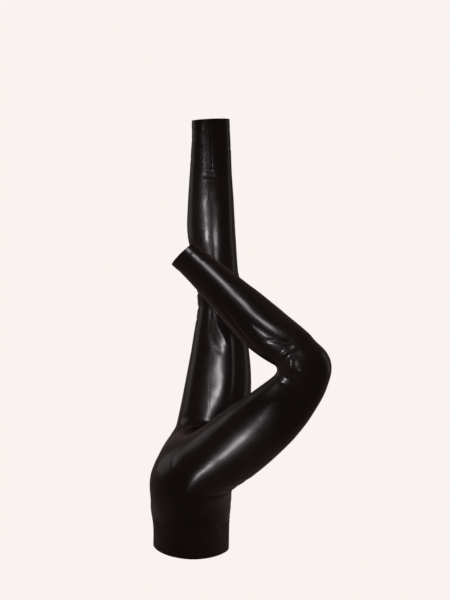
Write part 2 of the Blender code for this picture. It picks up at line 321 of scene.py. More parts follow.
def normals_of(field, points):
    """Outward directions, from the slope of the field."""
    slope = [field(points + axis) - field(points - axis) for axis in SLOPE_NUDGE * np.eye(3)]
    return unit(np.stack(slope, axis=-1))


def crotch_point():
    """The point of the middle outline that the leaning crotch plane touches first."""
    middle = np.array([0, 0, SEAT_CENTRE[2] * MM])
    turn = np.linspace(0, math.pi, CROTCH_RAYS)
    way = np.stack([np.cos(turn), 0 * turn, np.sin(turn)], axis=-1)
    outline = cast(hips_field, middle, way)
    up = np.array([math.sin(CROTCH_LEAN), 0, math.cos(CROTCH_LEAN)])
    return outline[np.argmax(outline @ up)]


CROTCH = crotch_point()


def crowd(first, last, steps, at_first=False, at_last=False):
    """Even places from first to last, with extra ones close to a first or last that is an edge."""
    beside = np.array(BESIDE_EDGE) * MM * np.sign(last - first)
    even = np.linspace(first + beside[-1] * at_first, last - beside[-1] * at_last, steps + 1)
    near_first = first + np.append(0, beside[:-1]) if at_first else []
    near_last = last - np.append(beside[-2::-1], 0) if at_last else []
    return np.concatenate([near_first, even, near_last])


def pelvis_planes(side, place):
    """Planes from the waist seam (place 0) to the crotch (place 1), each cutting the middle outline.

    Gives for each plane its ray start, its direction towards the middle, its forward direction, and
    the point on the middle between its front and back seam points.
    """
    lean = HEM_LEAN + (CROTCH_LEAN - HEM_LEAN) * ease(place)
    splay = SPLAY[side] * ease(place)
    zero = 0 * place
    forward = np.stack([np.cos(lean), zero, -np.sin(lean)], axis=-1)
    up = np.stack([np.sin(lean), zero, np.cos(lean)], axis=-1)
    out = np.array([0, OUTWARD[side], 0])
    sideways = np.cos(splay)[:, None] * out - np.sin(splay)[:, None] * up
    left_over = (1 - place) * (EVENNESS + (1 - EVENNESS) * (1 - place))
    seam_middle = np.array([0, 0, BAND_HEIGHT])
    middle = CROTCH + (seam_middle - CROTCH) * left_over[:, None]
    first, last = (np.array(RAY_START[side][key]) * MM for key in ("waist", "crotch"))
    shift = first + (last - first) * ease(place)[:, None]
    start = middle + shift[:, :1] * sideways + shift[:, 1:] * forward
    return start, -sideways, forward, middle


def leg_planes(side, thigh_rows, knee_rows, shin_rows):
    """Planes beyond the crotch: down the thigh, round the knee in a fan about a pivot, down the shin."""
    thigh, shin = LIMBS[side]
    half = math.acos(-thigh.along @ shin.along) / 2
    turn = KNEE_TURN[side]
    straight = turn / math.tan(half)
    start, inward, forward, _ = (a[0] for a in pelvis_planes(side, np.array([1.0])))
    normal = np.cross(inward, forward) * OUTWARD[side]
    first = ((start - thigh.start) @ normal) / (thigh.along @ normal)
    off = start - thigh.at(first)

    places = np.linspace(first, thigh.length - straight, thigh_rows + 1)[1:]
    settled = ease((places - first) / SETTLE)[:, None]
    origins = [thigh.at(places) + off * (1 - settled)]
    normals = [unit(normal + (thigh.along - normal) * settled)]
    towards = unit(CROTCH - start)
    inwards = [unit(towards - (thigh.outer + towards) * settled)]

    pivot = thigh.end + unit(shin.along - thigh.along) * turn / math.sin(half)
    bend = np.linspace(0, math.pi - 2 * half, knee_rows + 1)[1:, None]
    from_pivot = unit(thigh.at(thigh.length - straight) - pivot)
    way = np.cos(bend) * from_pivot + np.sin(bend) * thigh.along
    origins.append(pivot + turn * way)
    normals.append(np.cos(bend) * thigh.along - np.sin(bend) * from_pivot)
    inwards.append(-thigh.outer + (thigh.outer - shin.outer) * bend / bend[-1])

    hem_start = shin.length - HEM_ZONE
    places = np.linspace(straight, hem_start, shin_rows + 1)[1:-1]
    places = np.append(places, crowd(hem_start, shin.length, HEM_ROWS, at_last=True))
    skew = ease(1 - (shin.length - places) / SKEW_REACH)[:, None]
    cuff_faces = CUFF_FACES[side] or shin.along
    origins.append(shin.at(places))
    normals.append(unit(shin.along + skew * (cuff_faces - shin.along)))
    inwards.append(-shin.outer_at(places))

    origins, normals, inwards = (np.concatenate(a) for a in (origins, normals, inwards))
    inwards = unit(inwards - np.sum(inwards * normals, axis=-1, keepdims=True) * normals)
    return origins, inwards, np.cross(normals, inwards) * OUTWARD[side]


def rays(inward, forward, turn):
    """Directions in each plane, turned from its inward direction towards its forward one."""
    return np.cos(turn)[..., None] * inward[:, None] + np.sin(turn)[..., None] * forward[:, None]


def even_rings(field, start, inward, forward, columns, first=0.0, last=2 * math.pi, edged=True):
    """Rings from ray angle first to last, their points evenly spaced along the surface.

    An edged ring has extra points close to its ends, for its seam.
    """
    first, last = (np.broadcast_to(turn, len(start)) for turn in (first, last))
    share = np.linspace(0, 1, 2 * columns + 1)
    turn = first[:, None] + (last - first)[:, None] * share
    points = cast(field, start[:, None], rays(inward, forward, turn))
    travelled = np.cumsum(np.linalg.norm(np.diff(points, axis=1), axis=-1), axis=1)
    travelled = np.pad(travelled, ((0, 0), (1, 0)))
    wanted = np.stack([crowd(0, girth, columns, edged, edged) for girth in travelled[:, -1]])
    shelf = np.arange(len(start))[:, None]
    turn = np.interp((wanted + shelf).ravel(), (travelled + shelf).ravel(), turn.ravel())
    return cast(field, start[:, None], rays(inward, forward, turn.reshape(wanted.shape)))


def leg_form(side):
    """Outer points of a leg from waist seam to cuff, its outward directions, and its first closed row.

    Rows up to the crotch are open: they run from the front seam round the outside to the back seam. The
    crotch row and those after it are closed and start and end on the inseam.
    """
    sign = OUTWARD[side]
    seat_rows, *further_rows = ROWS[side]
    to_own_half = np.array([0, sign * SEAM_GAP / 2, 0])

    def unclipped(points):
        """The leg with both hips."""
        return leg_field(points, side)

    def whole(points):
        """The same, cut off half a seam gap from the middle of the figure."""
        return np.maximum(unclipped(points), SEAM_GAP / 2 - sign * points[..., 1])

    def lower(points):
        """The leg past the hips."""
        return knee_field(points, side)

    rise = np.linalg.norm(CROTCH - [0, 0, BAND_HEIGHT])
    place = crowd(0, rise, seat_rows, at_first=True) / rise
    start, inward, forward, middle = pelvis_planes(side, place)
    front_seam = cast(hips_field, middle + to_own_half, forward)
    back_seam = cast(hips_field, middle + to_own_half, -forward)
    front_seam[-1] = back_seam[-1] = CROTCH + to_own_half
    first, last = (
        np.arctan2(np.sum((seam - start) * forward, -1), np.sum((seam - start) * inward, -1))
        for seam in (front_seam, back_seam)
    )
    seat = even_rings(whole, start, inward, forward, LEG_COLUMNS, first, last + 2 * math.pi)
    seat[:, 0], seat[:, -1] = front_seam, back_seam

    planes = leg_planes(side, *further_rows)
    thigh_rows = further_rows[0]
    thigh = even_rings(whole, *(a[:thigh_rows] for a in planes), LEG_COLUMNS)
    rest = even_rings(lower, *(a[thigh_rows:] for a in planes), LEG_COLUMNS)
    formed = ((unclipped, seat), (unclipped, thigh), (lower, rest))
    outward = np.concatenate([normals_of(field, points) for field, points in formed])
    first_closed = len(place) - 1
    outward[:first_closed + 1, [0, -1], 1] = 0
    return np.concatenate([seat, thigh, rest]), unit(outward), first_closed


def band_form():
    """Outer points of the waistband from hem to seam, its outward directions, and its first closed row."""
    height = crowd(0, BAND_HEIGHT - SEAM_GAP, BAND_ROWS, at_first=True, at_last=True)
    start = np.multiply.outer(height, [0, 0, 1.0])
    inward = np.tile([0, -1.0, 0], (len(height), 1))
    forward = np.tile([math.cos(HEM_LEAN), 0, -math.sin(HEM_LEAN)], (len(height), 1))
    points = even_rings(hips_field, start, inward, forward, BAND_COLUMNS, edged=False)
    outward = normals_of(hips_field, points)
    reach = np.abs(points[..., 0]).max()
    points[..., 2] += HEM_RISE * (points[..., 0] / reach) ** 2 * (1 - height / BAND_HEIGHT)[:, None]
    return points, outward, 0


# ---- Folds, seams and hems ----

# Soft folds in the legs. Height is above the cloth, below it if negative. The flanks are the widths on the
# left and right of the path as seen from outside. A shoulder gives each flank a rim of the other sign.
# Stops are the distance along the limb and the turn round it in degrees, 0 at the front and 90 outside.
#    limb height left right shoulder stops
FOLDS = {
    "left": [
        # Outer side of the knee
        ("shin", 2.4, 6, 5.5, 0.5, [(43, 98), (41, 82), (38, 66), (33, 54), (26, 40)]),
        ("shin", 2.2, 6, 7, 0.4, [(30, 66), (20, 78), (10, 92), (0, 110)]),
        ("thigh", -2.4, 5, 5, 0.6, [(394, 96), (400, 76), (404, 60), (402, 42)]),
        ("thigh", 2.0, 5, 5, 0.4, [(404, 90), (410, 76), (416, 61), (420, 44)]),
        ("thigh", 2.2, 5, 5.5, 0.4, [(384, 84), (388, 70), (390, 57), (387, 44)]),
        ("thigh", -1.7, 6, 7, 0.5, [(350, 122), (368, 104), (375, 80), (370, 58)]),
        ("thigh", 1.2, 7, 7, 0.3, [(350, 100), (360, 86), (361, 66)]),
        ("shin", -1.1, 5, 5, 0.4, [(96, 84), (82, 71), (62, 57), (42, 36)]),
        ("shin", -1.1, 6, 6, 0.4, [(64, 118), (56, 100), (58, 80)]),
        # Inner side and crook of the knee
        ("shin", 2.2, 6, 6, 0.5, [(50, -112), (42, -90), (38, -66), (28, -46)]),
        ("thigh", -2.0, 6, 6, 0.6, [(352, -122), (370, -102), (378, -80), (372, -56)]),
        ("thigh", 1.6, 6, 6, 0.5, [(396, -94), (404, -74), (404, -48)]),
        ("thigh", -1.6, 6, 6, 0.6, [(388, -108), (394, -84), (388, -62)]),
        ("thigh", -1.8, 6, 6, 0.6, [(352, 140), (346, 180), (352, -140)]),
        ("thigh", -1.3, 6, 6, 0.6, [(326, 150), (318, 182), (328, -148)]),
        ("shin", -1.6, 6, 6, 0.6, [(74, 146), (80, 180), (74, -146)]),
        ("shin", -1.1, 6, 6, 0.6, [(100, 152), (106, 184), (98, -150)]),
        # Over the kneecap
        ("shin", 2.6, 16, 16, 0, [(44, 60), (40, 30), (38, 0), (40, -30), (44, -60)]),
        # Thigh and hip
        ("thigh", 0.8, 14, 14, 0, [(276, 84), (312, 77), (346, 70)]),
        ("thigh", -2.6, 8, 10, 0.6, [(40, -48), (32, -12), (30, 28), (24, 62)]),
        ("thigh", -1.6, 9, 9, 0.6, [(66, -42), (60, -4), (62, 34)]),
        ("thigh", -1.2, 7, 9, 0.6, [(92, -30), (88, 4), (94, 26)]),
        ("thigh", -1.6, 8, 8, 0.6, [(14, 108), (30, 128), (52, 142)]),
        ("thigh", -1.4, 7, 8, 0.6, [(66, -150), (88, -128), (112, -112)]),
        ("thigh", -1.1, 7, 8, 0.6, [(98, -160), (122, -140), (148, -126)]),
        # Shin and ankle
        ("shin", -0.9, 4, 5, 0.7, [(300, 60), (306, 96), (300, 132)]),
        ("shin", -0.8, 4, 4, 0.7, [(322, 78), (328, 112), (321, 146)]),
        ("shin", -0.9, 4, 4, 0.7, [(308, -64), (315, -100), (308, -138)]),
        ("shin", -0.8, 4, 5, 0.7, [(326, -140), (321, -176), (327, 150)]),
        ("shin", -0.7, 4, 4, 0.7, [(284, -120), (290, -158), (283, 168)]),
        ("shin", -0.6, 5, 5, 0.7, [(330, -30), (325, 0), (331, 28)]),
    ],
    "right": [
        # Inner thigh, pulled to an edge, with a pinch across it
        ("thigh", 7.5, 32, 10, 0, [(100, -70), (150, -60), (205, -55), (259, -55), (307, -58), (350, -66)]),
        ("thigh", -1.3, 10, 9, 0.2, [(328, -108), (298, -94), (274, -80), (260, -60)]),
        ("thigh", 1.8, 10, 8, 0.2, [(356, -100), (327, -84), (305, -70), (286, -58), (270, -48)]),
        # Inner calf, pinched at its seam
        ("shin", -1.8, 3.5, 4, 1.0, [(263, -128), (261, -106), (258, -82), (257, -58)]),
        ("shin", -1.0, 3, 3, 0.9, [(272, -116), (269, -96), (270, -78)]),
        ("shin", -1.0, 3.5, 3, 0.9, [(251, -112), (249, -92), (252, -72)]),
        ("shin", -0.7, 3, 3, 0.8, [(284, -104), (281, -90), (283, -76)]),
        ("shin", 0.4, 7, 7, 0, [(196, -110), (222, -103), (248, -96)]),
        # Back and sides of the knee
        ("thigh", -2.0, 5, 6, 0.8, [(372, 132), (362, 176), (374, -138)]),
        ("shin", -2.2, 5, 5, 0.8, [(2, 128), (-6, 176), (4, -134)]),
        ("shin", -1.6, 5, 6, 0.8, [(34, 138), (28, 182), (38, -142)]),
        ("thigh", -1.1, 6, 6, 0.7, [(342, 148), (334, 180), (344, -152)]),
        ("shin", -0.9, 7, 7, 0.5, [(18, 66), (10, 92), (20, 118)]),
        ("shin", 1.2, 14, 14, 0, [(-22, -20), (-4, 0), (-22, 20)]),
        # Crotch and seat
        ("thigh", -1.6, 7, 8, 0.6, [(22, -58), (48, -38), (80, -22)]),
        ("thigh", -1.1, 7, 7, 0.6, [(52, -62), (80, -44), (108, -30)]),
        ("thigh", -2.2, 8, 10, 0.5, [(44, -160), (56, 172), (58, 138), (46, 116)]),
        ("thigh", -1.2, 8, 9, 0.5, [(78, -162), (88, 174), (88, 146)]),
        ("thigh", -1.1, 8, 8, 0.6, [(104, -140), (120, -122), (140, -108)]),
        # Ankle
        ("shin", -0.9, 4, 5, 0.7, [(316, 40), (323, 84), (315, 128)]),
        ("shin", -0.8, 4, 4, 0.7, [(338, 64), (344, 106), (337, 150)]),
        ("shin", -0.9, 4, 4, 0.7, [(328, -172), (335, -140), (330, -118)]),
        ("shin", -0.8, 5, 4, 0.7, [(350, 160), (345, -168), (349, -136)]),
        ("shin", -0.7, 4, 5, 0.7, [(330, -44), (324, -8), (329, 30)]),
        ("shin", -0.7, 5, 5, 0.7, [(296, 132), (303, 172), (297, -148)]),
        ("shin", -0.6, 4, 4, 0.7, [(344, -62), (340, -30), (345, 0)]),
    ],
}
# Folds over the hips and the waistband: stops are the height and the bearing in degrees from the front,
# 90 on the wearer's left
#    height left right shoulder stops
HIP_FOLDS = [
    (1.4, 4, 5, 0.4, [(86, 96), (82, 84), (84, 70)]),
    (-1.0, 5, 6, 0.6, [(96, 52), (112, 42), (132, 36)]),
    (-0.9, 6, 6, 0.6, [(88, 128), (104, 138), (126, 142)]),
    (-1.0, 6, 6, 0.6, [(90, -118), (108, -128), (128, -134)]),
    (-0.9, 6, 6, 0.6, [(88, -60), (106, -50), (124, -46)]),
    (-0.9, 6, 6, 0.6, [(96, -14), (110, 0), (96, 16)]),
]
BAND_FOLDS = [
    (-0.9, 4, 5, 0.7, [(40, 118), (26, 104), (10, 90)]),
    (0.9, 9, 9, 0.2, [(66, 60), (46, 54), (26, 50)]),
    (-0.8, 5, 5, 0.7, [(58, 150), (44, 168), (30, 178)]),
    (-0.8, 5, 5, 0.7, [(60, -96), (40, -108), (18, -114)]),
    (-0.7, 6, 5, 0.7, [(56, -34), (42, -20), (36, 0)]),
    (-0.7, 5, 5, 0.7, [(22, -150), (36, -164), (54, -170)]),
]
# A path's number of points, how many flank widths a fold reaches, and how much of a path each end fades over
PATH_STEPS, FLANK_REACH, FADE = 26, 3.2, 0.36

# Slow unevenness of worn cloth: waves of these lengths and heights, in directions drawn once
WAVE_LENGTHS = (90, 70, 54, 43, 34, 27, 21)
WAVE_HEIGHTS = (0.12, 0.10, 0.07, 0.05, 0.035, 0.022, 0.015)
WAVES_EACH, FURTHEST_PHASE, WAVE_SEED = 2, 6, 11
BAND_WAVINESS = 1.2

# Seams: a sharp groove with a low ridge of turned cloth on each side, puckered along its length
GROOVE, GROOVE_WIDTH = 0.7 * MM, 1.0 * MM
TURNING, TURNING_PLACE, TURNING_WIDTH = 0.45 * MM, 4 * MM, 2.6 * MM
PUCKER, PUCKER_PITCH, PUCKER_REACH = 0.14 * MM, 9.5 * MM, 9 * MM
# The puckers are up to this many radians out of step, wandering over this length
PUCKER_WANDER, WANDER_LENGTH = 2, 31 * MM
# A leg's long seams are pulled almost flat, and show in full only over the last of the shin
CALM_SEAM, CALM_FROM, SEAM_FADE = 0.06, 140 * MM, 50 * MM
# Hems: doubled cloth whose step starts a little before its depth, held by rows of stitches that sink in
HEM_DEPTH, HEM_THICKER, HEM_STEP, STEP_BEFORE = 21 * MM, 0.5 * MM, 3 * MM, 2 * MM
STITCH_ROWS = (16.5 * MM, 19.5 * MM)
STITCH_SINK, STITCH_WIDTH, SINK_SWING, SINK_PITCH = 0.35 * MM, 0.8 * MM, 0.25, 7 * MM
# The band's stitches lie this far from its seam, and its leather is turned in this far from its hem
BAND_STITCH, BAND_FACING = 3.2 * MM, 12 * MM
# How far the edges roll in, and over what width
CUFF_ROLL, CUFF_ROLL_WIDTH = 0.6 * MM, 1.2 * MM
BAND_ROLL, BAND_ROLL_WIDTH = 0.84 * MM, 2 * MM


def path_between(stops):
    """A smooth curve through the stops: their first numbers, and their second as angles in radians."""
    firsts, degrees = np.array(stops, float).T
    step = np.arange(len(stops))
    t = np.linspace(0, step[-1], PATH_STEPS)
    return curve(t, step, firsts) * MM, curve(t, step, np.unwrap(np.radians(degrees)))


def on_limb(side, bone, stops):
    """Surface points under a path over a limb: a ray from the axis at each distance, in each direction."""
    limb = LIMBS[side][("thigh", "shin").index(bone)]
    place, turn = path_between(stops)
    turn = turn + limb.turn_at(place)
    way = np.multiply.outer(np.cos(turn), limb.front) + np.multiply.outer(np.sin(turn), limb.outer)
    return cast(lambda points: leg_field(points, side), limb.at(place), way)


def on_torso(stops):
    """Surface points under a path over the hips: a level ray from the middle at each height and bearing."""
    height, turn = path_between(stops)
    way = np.stack([np.cos(turn), -np.sin(turn), 0 * turn], -1)
    return cast(hips_field, np.multiply.outer(height, [0, 0, 1.0]), way)


def fold(points, outward, path, height, left, right, shoulder):
    """Height (1 - shoulder u^2) e^(-u^2), u being the distance from the path over the flank's width.

    It fades to nothing towards both ends of the path.
    """
    reach = FLANK_REACH * max(left, right) * MM
    near = np.all((points > path.min(axis=0) - reach) & (points < path.max(axis=0) + reach), axis=-1)
    run = np.diff(path, axis=0)
    gap = points[near][:, None] - path[:-1]
    share = np.clip(np.sum(gap * run, -1) / np.sum(run * run, -1), 0, 1)
    gap = gap - share[..., None] * run
    closest = np.argmin(np.sum(gap * gap, -1), axis=1)
    row = np.arange(len(closest))
    gap, share = gap[row, closest], share[row, closest]
    on_right = np.sum(np.cross(run[closest], outward[near]) * gap, -1) > 0
    u = np.linalg.norm(gap, axis=-1) / (np.where(on_right, right, left) * MM)
    along = (closest + share) / len(run)
    fade = ease(np.minimum(along, 1 - along) / FADE)
    raised = np.zeros(points.shape[:-1])
    raised[near] = height * MM * fade * (1 - shoulder * u * u) * np.exp(-u * u)
    return raised


def unevenness(points):
    """A sum of sine waves, each in its own direction through space."""
    rng = np.random.default_rng(WAVE_SEED)
    raised = np.zeros(points.shape[:-1])
    for length, height in zip(WAVE_LENGTHS, WAVE_HEIGHTS):
        for _ in range(WAVES_EACH):
            way = unit(rng.normal(size=3))
            phase = rng.uniform(0, FURTHEST_PHASE)
            raised += height * MM * np.sin(points @ way * 2 * math.pi / (length * MM) + phase)
    return raised


def travelled(points, axis):
    """Distance along a grid's rows (axis 1) or columns (axis 0), from their start."""
    steps = np.linalg.norm(np.diff(points, axis=axis), axis=-1)
    ends = [(0, 0), (0, 0)]
    ends[axis] = (1, 0)
    return np.pad(np.cumsum(steps, axis=axis), ends)


def bump(distance, width):
    """A soft hill of height 1: e^(-(distance / width)^2)."""
    return np.exp(-(distance / width) ** 2)


def seam(distance, along):
    """The groove, its ridge, and puckers that die out away from it: each a hill at its own distance."""
    wander = PUCKER_WANDER * np.sin(along / WANDER_LENGTH)
    pucker = PUCKER * np.sin(along * 2 * math.pi / PUCKER_PITCH + wander)
    ridge = TURNING * bump(distance - TURNING_PLACE, TURNING_WIDTH)
    return ridge - GROOVE * bump(distance, GROOVE_WIDTH) + pucker * bump(distance, PUCKER_REACH)


def rolled_in(distance, roll, width):
    """How far cloth rolls in at an edge: roll (1 - s)^2, s easing from 0 at the edge to 1 at the width."""
    return roll * (1 - ease(distance / width)) ** 2


def hem(distance, along):
    """Doubled cloth up to the hem's depth, with a sunk groove under each row of stitches."""
    raised = HEM_THICKER * (1 - ease((distance - HEM_DEPTH + STEP_BEFORE) / HEM_STEP))
    sink = STITCH_SINK * (1 + SINK_SWING * np.sin(along * 2 * math.pi / SINK_PITCH))
    for place in STITCH_ROWS:
        raised = raised - sink * bump(distance - place, STITCH_WIDTH)
    return raised - rolled_in(distance, CUFF_ROLL, CUFF_ROLL_WIDTH)


def dress_leg(side, points, outward):
    """How far each point of a leg is raised: the sum of its folds, unevenness, seams and hem.

    Gives each point's distance from the cuff too.
    """
    raised = unevenness(points)
    for bone, *sizes, stops in FOLDS[side]:
        raised += fold(points, outward, on_limb(side, bone, stops), *sizes)
    for *sizes, stops in HIP_FOLDS:
        raised += fold(points, outward, on_torso(stops), *sizes)
    round_way, down_way = travelled(points, 1), travelled(points, 0)
    from_end = np.minimum(round_way, round_way[:, -1:] - round_way)
    from_cuff = down_way[-1] - down_way
    strength = CALM_SEAM + (1 - CALM_SEAM) * ease((CALM_FROM - from_cuff) / SEAM_FADE)
    raised += seam(from_end, down_way) * strength
    raised += seam(down_way, round_way)
    raised += hem(from_cuff, round_way)
    return raised, from_cuff


def dress_band(points, outward):
    """How far each point of the band is raised: the sum of its folds, unevenness, seam and rolled hem.

    Gives each point's distance from the hem too.
    """
    raised = BAND_WAVINESS * unevenness(points)
    for *sizes, stops in BAND_FOLDS:
        raised += fold(points, outward, on_torso(stops), *sizes)
    round_way, from_hem = travelled(points, 1), travelled(points, 0)
    from_seam = from_hem[-1] - from_hem
    raised += seam(from_seam, round_way)
    raised -= STITCH_SINK * bump(from_seam - BAND_STITCH, STITCH_WIDTH)
    return raised - rolled_in(from_hem, BAND_ROLL, BAND_ROLL_WIDTH), from_hem


def pulled_smooth(points, centre, reach, passes):
    """The grid with the cloth near a centre pulled smooth along its columns.

    Each pass moves a point by w / 2 of the way to the middle of the points before and after it. The share
    w eases from 1 at the centre to 0 at the reach.
    """
    away = np.linalg.norm(points - centre, axis=-1)
    share = ease(1 - away / reach)[1:-1, :, None] / 2
    points = points.copy()
    for _ in range(passes):
        points[1:-1] += share * ((points[:-2] + points[2:]) / 2 - points[1:-1])
    return points


# ---- Cloth shells and stitches ----

SHARP_EDGE = math.radians(60)
STITCH_PITCH, STITCH_LENGTH, THREAD = 3.6 * MM, 2.7 * MM, 0.28 * MM
# A stitch has this many sides, rings at these shares of its half length, and a point at each end
STITCH_SIDES, STITCH_RINGS = 6, (-0.9, -0.45, 0.45, 0.9)
# Its middle rises above the cloth, and its rings and points sink, by these many thread radii
STITCH_RISE, STITCH_BOW, POINT_SINK = 0.7, 0.9, 0.3


def closed_up(values, first_closed):
    """The same grid with the two ends of each closed row set to their mean."""
    middle = (values[first_closed:, 0] + values[first_closed:, -1]) / 2
    values[first_closed:, 0] = values[first_closed:, -1] = middle
    return values


def add_mesh(name, points, faces, materials):
    """A smooth-shaded piece from its points and faces, with its place in its mesh."""
    mesh = bpy.data.meshes.new(name)
    mesh.from_pydata(points.tolist(), [], faces)
    mesh.shade_smooth()
    for material in materials:
        mesh.materials.append(material)
    piece = bpy.data.objects.new(name, mesh)
    bpy.context.scene.collection.objects.link(piece)
    return piece


def make_shell(name, points, outward, first_closed, thickness, flip, materials, backed):
    """A cloth shell: the grid, the same grid moved in by the thickness, and a rim along every free edge.

    The inner faces where backed is true show the second material, the cloth's backing.
    """
    rows, columns = points.shape[:2]
    size = rows * columns
    number = np.arange(size).reshape(rows, columns)
    number[first_closed:, -1] = number[first_closed:, 0]
    quads = np.stack([number[:-1, :-1], number[:-1, 1:], number[1:, 1:], number[1:, :-1]], -1).reshape(-1, 4)
    quads = quads[:, ::-1] if flip else quads
    edges = np.stack([quads, np.roll(quads, -1, axis=1)], -1).reshape(-1, 2)
    free = edges[~np.isin(edges @ [size, 1], edges @ [1, size])]
    rim = np.stack([free[:, 1], free[:, 0], free[:, 0] + size, free[:, 1] + size], -1)
    skins = np.concatenate([points, points - thickness * outward]).reshape(-1, 3)
    used, faces = np.unique(np.concatenate([quads, quads[:, ::-1] + size, rim]), return_inverse=True)
    inside = np.zeros(len(quads) * 2 + len(rim), np.int32)
    inside[len(quads):2 * len(quads)] = backed[:-1, :-1].ravel()
    piece = add_mesh(name, skins[used], faces.reshape(-1, 4).tolist(), materials)
    piece.data.set_sharp_from_angle(angle=SHARP_EDGE)
    piece.data.polygons.foreach_set("material_index", inside)
    return piece


def rail_at(points, outward, distance, wanted):
    """The line through a grid that lies the wanted distance along its columns, and its outward directions.

    Each point is between the two rows about that distance, in proportion.
    """
    row = np.argmin(np.abs(distance - wanted), axis=0)
    column = np.arange(points.shape[1])
    other = np.clip(row + np.where(distance[row, column] < wanted, -1, 1), 0, len(points) - 1)
    span = distance[other, column] - distance[row, column]
    share = np.clip((wanted - distance[row, column]) / np.where(span == 0, 1, span), 0, 1)[:, None]
    line = points[row, column] * (1 - share) + points[other, column] * share
    return line, outward[row, column]


def row_of_stitches(name, rail, outward):
    """Small spindles at an even pitch along a closed rail, their ends sunk in the cloth.

    At a share u of its half length a stitch's radius is r (1 - u^2)^(1/2), r being the thread's radius, and
    its middle is r (rise - bow u^2) above the rail.
    """
    steps = np.linalg.norm(np.diff(rail, axis=0), axis=-1)
    so_far = np.append(0, np.cumsum(steps))
    count = int(so_far[-1] / STITCH_PITCH)
    at = (np.arange(count) + 0.5) * so_far[-1] / count

    def along_rail(values, distance):
        """Values of the rail's points, in proportion between the two points about each distance."""
        return np.stack([np.interp(distance, so_far, axis) for axis in values.T], -1)

    centre = along_rail(rail, at)
    along = unit(along_rail(rail, at + STITCH_LENGTH / 4) - centre)
    up = unit(along_rail(outward, at))
    across = unit(np.cross(along, up))
    rings = np.array(STITCH_RINGS)
    spin = np.arange(STITCH_SIDES) * 2 * math.pi / STITCH_SIDES
    thick = THREAD * np.sqrt(1 - rings ** 2)
    lift = THREAD * (STITCH_RISE - STITCH_BOW * rings ** 2)
    body = (
        centre[:, None, None]
        + along[:, None, None] * (rings * STITCH_LENGTH / 2)[:, None, None]
        + up[:, None, None] * (lift[:, None] + thick[:, None] * np.cos(spin))[..., None]
        + across[:, None, None] * (thick[:, None] * np.sin(spin))[..., None]
    ).reshape(count, -1, 3)
    ends = centre[:, None] + along[:, None] * np.array([[-STITCH_LENGTH / 2], [STITCH_LENGTH / 2]])
    points = np.concatenate([body, ends - POINT_SINK * THREAD * up[:, None]], axis=1)

    here = np.arange(STITCH_SIDES)
    after = (here + 1) % STITCH_SIDES
    last_ring, first_end = STITCH_SIDES * (len(rings) - 1), STITCH_SIDES * len(rings)
    between_rings = np.stack([here, after, after + STITCH_SIDES, here + STITCH_SIDES], -1)
    quads = np.concatenate([between_rings + ring for ring in range(0, last_ring, STITCH_SIDES)])
    start_cap = np.stack([after, here, np.full_like(here, first_end)], -1)
    end_cap = np.stack([here + last_ring, after + last_ring, np.full_like(here, first_end + 1)], -1)
    tris = np.concatenate([start_cap, end_cap])
    offsets = (np.arange(count) * points.shape[1])[:, None, None]
    faces = (quads + offsets).reshape(-1, 4).tolist() + (tris + offsets).reshape(-1, 3).tolist()
    return add_mesh(name, points.reshape(-1, 3), faces, [thread])


# ---- Materials ----

# Coated leather: how much its pores add to its pebbles, and how far its gloss and its depth of colour swing
PORE_SHARE, GLOSS_SWING, TONE_SWING = 0.35, 0.06, 0.25


def tune(node, **values):
    """Sets a node's sockets by name, with underscores for spaces."""
    for name, value in values.items():
        node.inputs[name.replace("_", " ")].default_value = value
    return node


def start_material(name):
    """A new material with its shader and the place on the piece, which every pattern follows."""
    material = bpy.data.materials.new(name)
    material.use_nodes = True
    nodes, links = material.node_tree.nodes, material.node_tree.links
    place = nodes.new("ShaderNodeTexCoord").outputs["Object"]
    return material, nodes, links, nodes["Principled BSDF"], place


def add_tone(nodes, links, pattern, shader, deep, pale, start=0.0, end=1.0):
    """Colours the shader from deep to pale as the pattern goes from start to end."""
    tone = nodes.new("ShaderNodeValToRGB")
    first, last = tone.color_ramp.elements
    first.position, last.position = start, end
    first.color, last.color = (*deep, 1), (*pale, 1)
    links.new(pattern, tone.inputs["Fac"])
    links.new(tone.outputs["Color"], shader.inputs["Base Color"])
    return tone


def add_relief(nodes, links, pattern, shader, strength, depth):
    """Gives the shader a fine relief as deep as the depth where the pattern is 1."""
    relief = tune(nodes.new("ShaderNodeBump"), Strength=strength, Distance=depth)
    links.new(pattern, relief.inputs["Height"])
    links.new(relief.outputs["Normal"], shader.inputs["Normal"])


